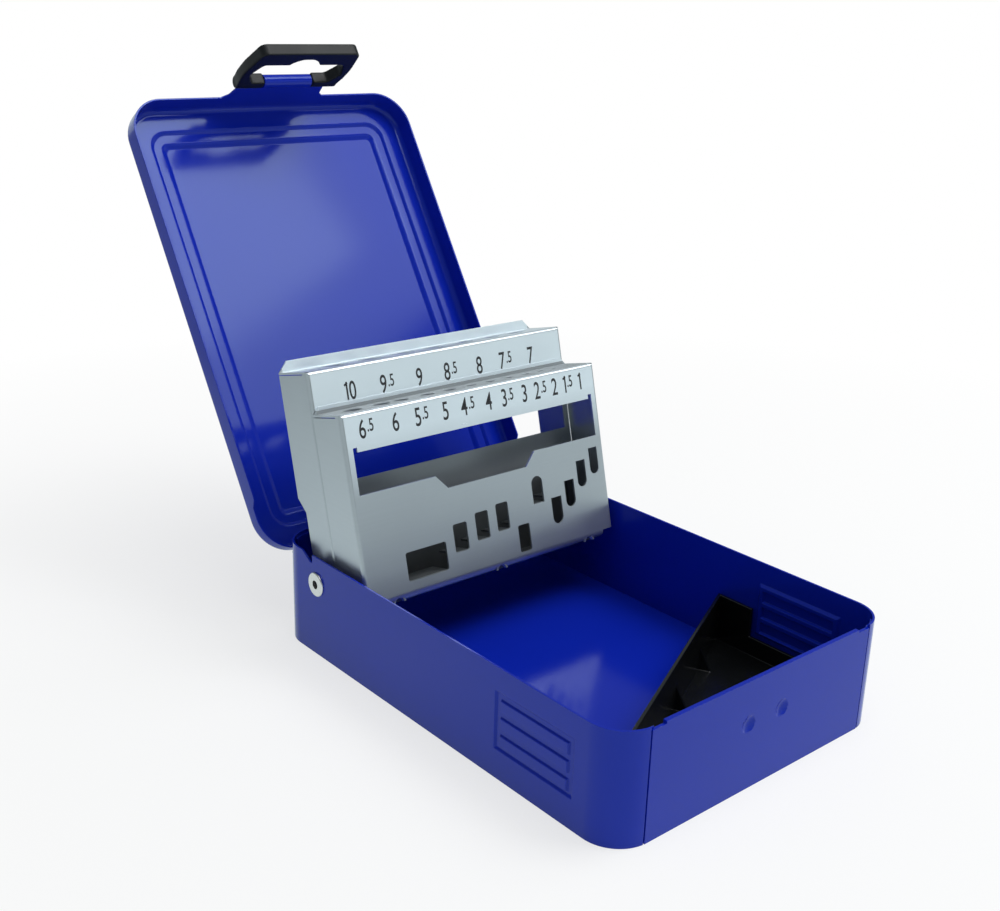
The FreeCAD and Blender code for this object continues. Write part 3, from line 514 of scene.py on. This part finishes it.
def black_plastic(colour, name="black_plastic", dull=0.34, gloss=0.22):
    """Moulded plastic with a fine spark-eroded grain."""
    maker = Maker(bpy.data.materials.new(name))
    place = maker.object_place()
    grain = maker.noise(place, 2600.0, 3.0)
    rubs = maker.noise(place, 70.0, 4.0)
    return maker.finish(
        base_color=maker.tint(rubs, scaled(colour, 0.8), scaled(colour, 1.5)),
        specular_ior_level=gloss,
        roughness=maker.ramp(rubs, (0.3, dull), (0.7, dull + 0.1)),
        normal=maker.bump(grain, 0.03 * MM, 0.3),
    )


def printed_ink(colour):
    """Black ink, a little thin in places."""
    maker = Maker(bpy.data.materials.new("printed_ink"))
    thin = maker.noise(maker.object_place(), 900.0, 3.0)
    return maker.finish(
        base_color=maker.tint(thin, scaled(colour, 0.8), scaled(colour, 1.8)),
        roughness=maker.ramp(thin, (0.3, 0.45), (0.7, 0.6)),
    )


def floor_white():
    """A white floor that keeps the object's shadow and is plain white further out."""
    maker = Maker(bpy.data.materials.new("stage_floor"))
    place = maker.object_place()
    wear = maker.tint(maker.noise(place, 3.0), (0.93, 0.93, 0.93), (0.95, 0.95, 0.95))
    lit = maker.principled(base_color=wear, roughness=0.9)
    out = maker.node("ShaderNodeVectorMath", {"operation": "LENGTH"}, {0: place})["Value"]
    camera = maker.node("ShaderNodeLightPath")["Is Camera Ray"]
    strength = camera | maker.ramp(out, (0.2, 1.0), (0.5, 0.5))
    white = maker.node("ShaderNodeEmission", {}, {"Color": maker.daylight(camera), "Strength": strength})
    share = maker.in_view() * maker.ramp(out, (0.1, 0.68), (0.5, 1.0))
    mixed = maker.node("ShaderNodeMixShader", {}, {0: share, 1: lit, 2: white})
    maker.node("ShaderNodeOutputMaterial", {}, {"Surface": mixed})
    return maker.owner


PAINTS = {}


def finish_for(name):
    """The finish of that name, made the first time it is asked for."""
    if name not in PAINTS:
        colours = bpy.context.scene.case_finishes
        makers = {
            "blue_paint": lambda: blue_paint(colours.paint),
            "zinc_sheet": lambda: zinc_sheet(colours.zinc),
            "plated_steel": lambda: plated_steel(colours.plated),
            "black_plastic": lambda: black_plastic(colours.plastic),
            "tray_plastic": lambda: black_plastic(scaled(colours.plastic, 0.6), "tray_plastic", 0.16, 0.6),
            "printed_ink": lambda: printed_ink(colours.ink),
            "stage_floor": floor_white,
        }
        PAINTS[name] = makers[name]()
    return PAINTS[name]


def linked(name, data):
    """A new object in the scene."""
    made = bpy.data.objects.new(name, data)
    bpy.context.scene.collection.objects.link(made)
    return made


def mesh_object(name, shape, finish):
    """Turns a finished bmesh into an object of the scene."""
    mesh = bpy.data.meshes.new(name)
    shape.to_mesh(mesh)
    shape.free()
    mesh.materials.append(finish_for(finish))
    return linked(name, mesh)


def show(name, shape, finish, body):
    """Turns a finished bmesh into a piece that rides on a body."""
    piece = mesh_object(name, shape, finish)
    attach(piece, body)
    return piece


def smooth_faces(piece, degrees=32.0):
    """Smooth shading over bends below an angle, with flat faces kept flat by their area."""
    mesh = piece.data
    mesh.polygons.foreach_set("use_smooth", [True] * len(mesh.polygons))
    mesh.set_sharp_from_angle(angle=math.radians(degrees))
    weighted = piece.modifiers.new("weighted", "WEIGHTED_NORMAL")
    weighted.keep_sharp = True
    return piece


def merged_copy(node):
    """A CAD node's shape as one closed skin of large faces."""
    shape = bmesh.new()
    shape.from_mesh(frame["nodes"][node].data)
    bmesh.ops.remove_doubles(shape, verts=shape.verts, dist=WELD)
    flat = math.radians(0.6)
    bmesh.ops.dissolve_limit(shape, angle_limit=flat, verts=shape.verts, edges=shape.edges)
    return shape


def runs_along(edge, direction):
    """Whether an edge lies within about 8 degrees of a direction."""
    return abs((edge.verts[1].co - edge.verts[0].co).normalized().dot(direction)) > 0.99


def bevel(shape, geom, radius, segments, affect, clamp=False):
    """Rounds edges or corners over a radius."""
    bmesh.ops.bevel(
        shape, geom=geom, offset=radius, offset_type="OFFSET", segments=segments, profile=0.5, affect=affect,
        clamp_overlap=clamp, material=-1,
    )


def roll_edges(shape, radius, segments=2, sharp=35.0, part=lambda place: True, direction=None):
    """Rolls every sharp edge of a part of the shape, or those along one direction, over a small radius."""
    limit = math.radians(sharp)
    edges = [
        edge
        for edge in shape.edges
        if edge.is_manifold and edge.calc_face_angle() > limit and all(part(vert.co) for vert in edge.verts)
    ]
    if direction:
        edges = [edge for edge in edges if runs_along(edge, direction)]
    bevel(shape, edges, radius, segments, "EDGES", clamp=True)


def soften(node, name, finish, radius, segments=2, sharp=35.0):
    """Stands for a CAD node with the same shape and softer edges."""
    return finish_copy(merged_copy(node), node, name, finish, radius, segments, sharp)


def finish_copy(shape, node, name, finish, radius, segments=2, sharp=35.0):
    """Softens a CAD node's copy, and puts it in the node's place."""
    roll_edges(shape, radius, segments, sharp)
    piece = smooth_faces(show(name, shape, finish, frame["nodes"][node]["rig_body"]))
    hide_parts(node)
    return piece


def rounded_ring(shape, half, front, rear, height, radius, segments):
    """A rounded rectangle, square to Z. Returns its face and its edges."""
    known = set(shape.faces)
    made = bmesh.ops.create_grid(shape, x_segments=1, y_segments=1, size=1.0)["verts"]
    bmesh.ops.scale(shape, vec=(half, (rear - front) / 2, 1), verts=made)
    bmesh.ops.translate(shape, vec=(0, (rear + front) / 2, height), verts=made)
    bevel(shape, made, radius, segments, "VERTICES")
    face = next(face for face in shape.faces if face not in known)
    return face, list(face.edges)


def lid_profile(sizes):
    """Inset, drop below the border and corner radius of each ring, from the rim's edge to the panel."""
    rings = [(0.0, sizes.rim_drop, sizes.corner)]
    turns = 5
    for step in range(turns + 1):
        angle = math.pi / 2 * step / turns
        inset = sizes.rim_bend * (1 - math.cos(angle))
        rings.append((inset, sizes.rim_bend * (1 - math.sin(angle)), sizes.corner - inset))
    steps = 6
    ledge, panel = -sizes.ledge_rise, -sizes.ledge_rise - sizes.panel_rise
    for middle, start, end, run, radius in (
        (sizes.border, -sizes.crown, ledge, sizes.slope, sizes.ledge_corner),
        (sizes.border + sizes.ledge, ledge - sizes.crown, panel, sizes.panel_slope, sizes.panel_corner),
    ):
        for step in range(steps + 1):
            share = step / steps
            drop = start + (end - start) * (1 - math.cos(math.pi * share)) / 2
            rings.append((middle + run * (share - 0.5), drop, max(radius, radius + run * (0.5 - share))))
    return rings


def pressed_shell(shape, sizes, half, front, rear, top):
    """The lid's outer skin, ring by ring from the rim's edge up to the panel."""
    previous = None
    for inset, drop, radius in lid_profile(sizes):
        face, edges = rounded_ring(
            shape, half - inset, front + inset, rear - inset, top - drop, radius, sizes.corner_segments
        )
        if previous:
            bmesh.ops.bridge_loops(shape, edges=previous[1] + edges)
            bmesh.ops.delete(shape, geom=[previous[0]], context="FACES_ONLY")
        previous = (face, edges)


def raise_rear(shape, sizes, rear, edge):
    """Makes the rim shallower beside the hinges, past a short slope."""
    for reach in (sizes.rear_relief, sizes.rear_relief + sizes.rear_rise):
        everything = [*shape.verts, *shape.edges, *shape.faces]
        bmesh.ops.bisect_plane(
            shape, geom=everything, dist=CUT_SLACK, plane_co=(0, rear - reach, 0), plane_no=(0, 1, 0)
        )
    behind = rear - sizes.rear_relief - SLACK
    low = [vert for vert in shape.verts if vert.co.z < edge + SLACK and vert.co.y > behind]
    bmesh.ops.translate(shape, vec=(0, 0, sizes.rear_rise), verts=low)


def low_edges(shape, front, height, half):
    """Edges along the front that hang at one height, within a half width."""

    def hangs(place):
        return (
            abs(place.y - front) < SLACK and abs(place.z - height) < SLACK and abs(place.x) < half + SLACK
        )

    return [edge for edge in shape.edges if all(hangs(vert.co) for vert in edge.verts)]


def drop_edges(shape, edges, reach):
    """Pulls edges down as new sheet. Returns the new vertices."""
    made = bmesh.ops.extrude_edge_only(shape, edges=edges)["geom"]
    verts = [part for part in made if isinstance(part, bmesh.types.BMVert)]
    bmesh.ops.translate(shape, vec=(0, 0, -reach), verts=verts)
    return verts


def draw_in(shape, verts, old, new):
    """Moves the outermost vertices of a row in from one half width to another."""
    outer = [vert for vert in verts if abs(vert.co.x) > old - SLACK]
    bmesh.ops.scale(shape, vec=(new / old, 1, 1), verts=outer)


def front_tab(shape, sizes, front, edge, curl):
    """The tongue below the front rim, and the strip that is rolled into the handle's curl."""
    wide = sizes.tab_half + sizes.tab_flare
    behind = front + 0.1 * MM
    for half in (wide, -wide, sizes.curl_half, -sizes.curl_half):
        near = [face for face in shape.faces if face.calc_center_median().y < behind]
        parts = set(near).union(*(face.edges for face in near), *(face.verts for face in near))
        bmesh.ops.bisect_plane(
            shape, geom=list(parts), dist=CUT_SLACK, plane_co=(half, 0, 0), plane_no=(1, 0, 0)
        )
    verts = drop_edges(shape, low_edges(shape, front, edge, wide), sizes.tab_flare)
    draw_in(shape, verts, wide, sizes.tab_half)
    tongue = low_edges(shape, front, edge - sizes.tab_flare, sizes.tab_half)
    verts = drop_edges(shape, tongue, sizes.tab_reach - sizes.tab_flare)
    draw_in(shape, verts, sizes.tab_half, sizes.tab_half - sizes.tab_taper)
    level = edge - sizes.tab_reach
    meet = curl.z + math.sqrt(sizes.curl_radius**2 - (curl.y - front) ** 2)
    drop_edges(shape, low_edges(shape, front, level, sizes.curl_half), level - meet)
    rolled = low_edges(shape, front, meet, sizes.curl_half)
    bmesh.ops.spin(
        shape, geom=rolled, cent=(0, curl.y, curl.z), axis=(1, 0, 0), angle=sizes.curl_turn,
        steps=sizes.curl_segments, use_merge=False,
    )


class CASE_OT_lid(bpy.types.Operator):
    """Press the lid with its rim, border, ledge and panel, and roll its tab round the handle"""

    bl_idname = "case.lid"
    bl_label = "Lid"

    def execute(self, context):
        sizes = context.scene.case_lid
        pose = shut_pose().inverted() @ Matrix.Translation(joint_place("lid_hinge"))
        high = posed_box("lid_panel", pose.inverted())[1]
        curl = pose.inverted() @ joint_place("handle_hinge")
        front = curl.y - sizes.gauge / 2
        top = high.z - sizes.ledge_rise - sizes.panel_rise
        shape = bmesh.new()
        pressed_shell(shape, sizes, high.x, front, high.y, top)
        raise_rear(shape, sizes, high.y, top - sizes.rim_drop)
        front_tab(shape, sizes, front, top - sizes.rim_drop, curl)
        bmesh.ops.recalc_face_normals(shape, faces=shape.faces)
        panel = max(shape.faces, key=lambda face: face.calc_area())
        if panel.normal.z < 0:
            bmesh.ops.reverse_faces(shape, faces=shape.faces)
        shape.transform(pose)
        piece = show("lid_shell", shape, "blue_paint", "lid")
        wall = piece.modifiers.new("sheet", "SOLIDIFY")
        wall.thickness = sizes.gauge
        wall.offset = -1.0
        wall.use_even_offset = True
        soft = piece.modifiers.new("soft_edges", "BEVEL")
        soft.width = sizes.edge
        soft.segments = 2
        soft.limit_method = "ANGLE"
        bend = 50.0
        soft.angle_limit = math.radians(bend)
        smooth_faces(piece, bend)
        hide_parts("lid_panel")
        return {"FINISHED"}


class CASE_OT_sheet(bpy.types.Operator):
    """Dress the base pan and its two end walls"""

    bl_idname = "case.sheet"
    bl_label = "Base"

    def execute(self, context):
        edges = context.scene.case_edges
        high = Vector(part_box("base_pan")[1])
        shape = merged_copy("base_pan")
        half, height = high.x - edges.press_depth, high.z - edges.press_margin

        def grip(place):
            """Whether a place is on the front grip ribs of either side wall."""
            return abs(place.x) > half and place.y < 0 and edges.press_margin < place.z < height

        roll_edges(shape, edges.grip_corner, 3, part=grip, direction=Vector((1, 0, 0)))
        roll_edges(shape, edges.pressed, 3, part=grip)
        finish_copy(shape, "base_pan", "base_pan_sheet", "blue_paint", edges.sheet)
        for node in ("front_wall", "rear_wall"):
            soften(node, f"{node}_sheet", "blue_paint", edges.sheet)
        return {"FINISHED"}


class CASE_OT_racks(bpy.types.Operator):
    """Dress the two drill racks"""

    bl_idname = "case.racks"
    bl_label = "Racks"

    def execute(self, context):
        for node in ("front_rack", "back_rack"):
            soften(node, f"{node}_sheet", "zinc_sheet", context.scene.case_edges.zinc)
        return {"FINISHED"}


def moulded_handle(edges):
    """The handle with its edges rounded as a mould leaves them."""
    shape = merged_copy("carry_handle")
    piece = show("handle_moulding", shape, "black_plastic", "handle")
    skin = piece.modifiers.new("skin", "REMESH")
    skin.mode = "VOXEL"
    skin.voxel_size = edges.handle_grain
    soft = piece.modifiers.new("round", "SMOOTH")
    soft.factor = 0.5
    soft.iterations = edges.handle_rounds
    piece.data.polygons.foreach_set("use_smooth", [True] * len(piece.data.polygons))
    skin.use_smooth_shade = True
    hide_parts("carry_handle")


class CASE_OT_mouldings(bpy.types.Operator):
    """Dress the carry handle and the parts tray"""

    bl_idname = "case.mouldings"
    bl_label = "Handle and tray"

    def execute(self, context):
        edges = context.scene.case_edges
        moulded_handle(edges)
        soften("parts_tray", "tray_moulding", "tray_plastic", edges.tray, 3)
        return {"FINISHED"}


class CASE_OT_hardware(bpy.types.Operator):
    """Dress the rivets, washers and hinges"""

    bl_idname = "case.hardware"
    bl_label = "Rivets and hinges"

    def execute(self, context):
        radius = context.scene.case_edges.hardware
        kinds = ("pivot_rivet", "spacer_washer", "hinge_base_leaf", "hinge_lid_leaf", "hinge_pin")
        for kind in kinds:
            for side in ("left", "right"):
                soften(f"{side}_{kind}", f"{side}_{kind}_metal", "plated_steel", radius)
        return {"FINISHED"}


# Where the print of each drill size is centred across its rack, in millimetres.
PRINT_PLACES = {
    "front_rack": {
        6.5: -47.5, 6.0: -35.7, 5.5: -24.8, 5.0: -14.6, 4.5: -4.8, 4.0: 4.7,
        3.5: 13.5, 3.0: 21.5, 2.5: 29.2, 2.0: 36.2, 1.5: 42.8, 1.0: 48.9,
    },
    "back_rack": {10.0: -41.0, 9.5: -25.6, 9.0: -11.7, 8.5: 2.3, 8.0: 15.7, 7.5: 28.3, 7.0: 40.7},
}
# A digit's height against its font size, and the head of a one in digit heights.
DIGIT_SHARE = 0.7
FLAG_LONG, FLAG_THICK, FLAG_LIFT, FLAG_ROOM = 0.24, 0.11, 0.86, 0.16
FLAG_SLANT = math.radians(33)


def text_shape(words, size, sizes):
    """Printed words as a thin flat mesh that starts at the origin, in the X and Y plane."""
    curve = bpy.data.curves.new("print", "FONT")
    curve.body = words
    curve.size = size
    curve.extrude = sizes.ink
    curve.offset = sizes.bold
    curve.resolution_u = 6
    carrier = bpy.data.objects.new("print", curve)
    mesh = bpy.data.meshes.new_from_object(carrier)
    bpy.data.objects.remove(carrier)
    mesh.transform(Matrix.Diagonal((sizes.narrow, 1, 1, 1)))
    return mesh


def join(shape, mesh, move):
    """Adds a mesh to a bmesh, with its left edge and its foot at the place given. Returns its right edge."""
    low, high = spread([vertex.co for vertex in mesh.vertices])
    mesh.transform(Matrix.Translation(move - Vector((low.x, 0, 0))))
    shape.from_mesh(mesh)
    bpy.data.meshes.remove(mesh)
    return move.x + high.x - low.x


def flag(shape, height, right, ink):
    """The slanting stroke at the head of a one."""
    made = bmesh.ops.create_cube(shape, size=1.0)["verts"]
    bmesh.ops.scale(shape, vec=(height * FLAG_LONG, height * FLAG_THICK, ink * 2), verts=made)
    bmesh.ops.rotate(shape, cent=(0, 0, 0), matrix=Matrix.Rotation(FLAG_SLANT, 3, "Z"), verts=made)
    bmesh.ops.translate(shape, vec=(right, height * FLAG_LIFT, 0), verts=made)


def size_label(size, sizes):
    """One drill size: whole digits with a small half after them, centred together."""
    shape = bmesh.new()
    font = sizes.height / DIGIT_SHARE
    space = sizes.height * sizes.space
    right = -space
    for digit in str(int(size)):
        right += space
        if digit == "1":
            right += sizes.height * FLAG_ROOM
            flag(shape, sizes.height, right, sizes.ink)
        right = join(shape, text_shape(digit, font, sizes), Vector((right, 0, 0)))
    if size % 1:
        small = text_shape(".5", font * sizes.small, sizes)
        join(shape, small, Vector((right + sizes.gap, sizes.height * sizes.lift, 0)))
    low, high = spread([vert.co for vert in shape.verts])
    bmesh.ops.translate(shape, vec=(-(low.x + high.x) / 2, -sizes.height / 2, 0), verts=shape.verts)
    return shape


class CASE_OT_labels(bpy.types.Operator):
    """Print the drill sizes on both racks"""

    bl_idname = "case.labels"
    bl_label = "Drill sizes"

    def execute(self, context):
        sizes = context.scene.case_labels
        pose = rack_pose()
        stand = Matrix.Rotation(math.pi / 2, 4, "X")
        for rack, middle in (("front_rack", sizes.front_middle), ("back_rack", sizes.back_middle)):
            face = posed_box(rack, pose.inverted())[0].y
            for size, across in PRINT_PLACES[rack].items():
                place = Vector((across * MM, face - sizes.ink, middle))
                shape = size_label(size, sizes)
                shape.transform(pose @ Matrix.Translation(place) @ stand)
                name = f"size_print_{size:.1f}".replace(".", "_")
                show(name, shape, "printed_ink", "racks")
        return {"FINISHED"}


def camera_matrix(stage):
    """Where the camera stands and how it is turned."""
    azimuth, elevation, roll = map(math.radians, (stage.azimuth, stage.elevation, stage.roll))
    level = math.cos(elevation)
    back = Vector((math.sin(azimuth) * level, -math.cos(azimuth) * level, math.sin(elevation)))
    right = (-back).cross(Vector((0, 0, 1))).normalized()
    up = right.cross(-back)
    turned_right = right * math.cos(roll) + up * math.sin(roll)
    turned_up = up * math.cos(roll) - right * math.sin(roll)
    rows = Matrix((turned_right, turned_up, back)).transposed().to_4x4()
    return Matrix.Translation(Vector(stage.place)) @ rows


def area_lamp(name, place, target, size, power):
    """A rectangular lamp that shines at a target."""
    lamp = bpy.data.lights.new(name, "AREA")
    lamp.shape = "RECTANGLE"
    lamp.size, lamp.size_y = size
    lamp.energy = power
    aim = (Vector(target) - Vector(place)).to_track_quat("-Z", "Y")
    linked(name, lamp).matrix_world = Matrix.Translation(Vector(place)) @ aim.to_matrix().to_4x4()


# Each lamp's place, the place that it shines at, and its sides.
LAMPS = {
    "key": ((0.1, -0.25, 1.4), (0, 0, 0.05), (1.1, 0.9)),
    "lid": ((0.50, -0.30, 0.88), (0, 0.15, 0.12), (0.75, 0.5)),
    "corner": ((0.36, -0.34, 0.93), (-0.04, 0.17, 0.15), (0.34, 0.42)),
}
FLOOR_RADIUS = 30.0
FLOOR_GAP = 0.05 * MM
SENSOR_WIDTH = 36.0
NEAREST_VIEW = 0.01


def white_sky(overhead):
    """White for the camera and level with the floor, and less bright overhead."""
    maker = Maker(bpy.data.worlds.new("studio"))
    towards = maker.node("ShaderNodeTexCoord")["Generated"]
    height = maker.node("ShaderNodeSeparateXYZ", {}, {"Vector": towards})["Z"]
    camera = maker.node("ShaderNodeLightPath")["Is Camera Ray"]
    strength = camera | maker.ramp(height, (0.08, 1.0), (0.3, overhead))
    sky = maker.node("ShaderNodeBackground", {}, {"Color": maker.daylight(camera), "Strength": strength})
    maker.node("ShaderNodeOutputWorld", {}, {"Surface": sky})
    bpy.context.scene.world = maker.owner


class CASE_OT_stage(bpy.types.Operator):
    """Set the white floor, the lamps and the camera"""

    bl_idname = "case.stage"
    bl_label = "Stage"

    def execute(self, context):
        stage = context.scene.case_stage
        shape = bmesh.new()
        bmesh.ops.create_circle(shape, cap_ends=True, segments=96, radius=FLOOR_RADIUS)
        bmesh.ops.translate(shape, vec=(0, 0, -FLOOR_GAP), verts=shape.verts)
        floor = mesh_object("floor", shape, "stage_floor")
        white_sky(stage.world)
        for name, (place, target, sides) in LAMPS.items():
            area_lamp(f"{name}_lamp", place, target, sides, getattr(stage, name))
        data = bpy.data.cameras.new("camera")
        data.sensor_width = SENSOR_WIDTH
        data.lens = data.sensor_width * stage.focal
        data.clip_start = NEAREST_VIEW
        camera = linked("camera", data)
        camera.matrix_world = camera_matrix(stage)
        context.scene.camera = camera
        context.scene.view_settings.view_transform = "Standard"
        return {"FINISHED"}


GROUPS = {
    "case_lid": LidSizes,
    "case_edges": EdgeSizes,
    "case_labels": LabelSizes,
    "case_finishes": Finishes,
    "case_stage": StageSettings,
}
OPERATORS = (
    CASE_OT_lid,
    CASE_OT_sheet,
    CASE_OT_racks,
    CASE_OT_mouldings,
    CASE_OT_hardware,
    CASE_OT_labels,
    CASE_OT_stage,
)


class CASE_PT_sidebar(bpy.types.Panel):
    """Lists the sizes, the finishes and the operators of the drill bit case"""

    bl_label = "Drill Case"
    bl_space_type = "VIEW_3D"
    bl_region_type = "UI"
    bl_category = "Drill Case"

    def draw(self, context):
        for group in GROUPS:
            box = self.layout.box()
            settings = getattr(context.scene, group)
            for name in settings.bl_rna.properties.keys():
                if name not in ("rna_type", "name"):
                    box.prop(settings, name)
        for operator in OPERATORS:
            self.layout.operator(operator.bl_idname)


def register():
    for kind in (*GROUPS.values(), *OPERATORS, CASE_PT_sidebar):
        bpy.utils.register_class(kind)
    for name, group in GROUPS.items():
        setattr(bpy.types.Scene, name, PointerProperty(type=group))


def unregister():
    for name in GROUPS:
        delattr(bpy.types.Scene, name)
    for kind in (CASE_PT_sidebar, *reversed(OPERATORS), *reversed(GROUPS.values())):
        bpy.utils.unregister_class(kind)


def main():
    register()
    for operator in OPERATORS:
        group, name = operator.bl_idname.split(".")
        if getattr(getattr(bpy.ops, group), name)() != {"FINISHED"}:
            raise RuntimeError(f"{operator.bl_label} was not made")


if __name__ == "__main__":
    main()
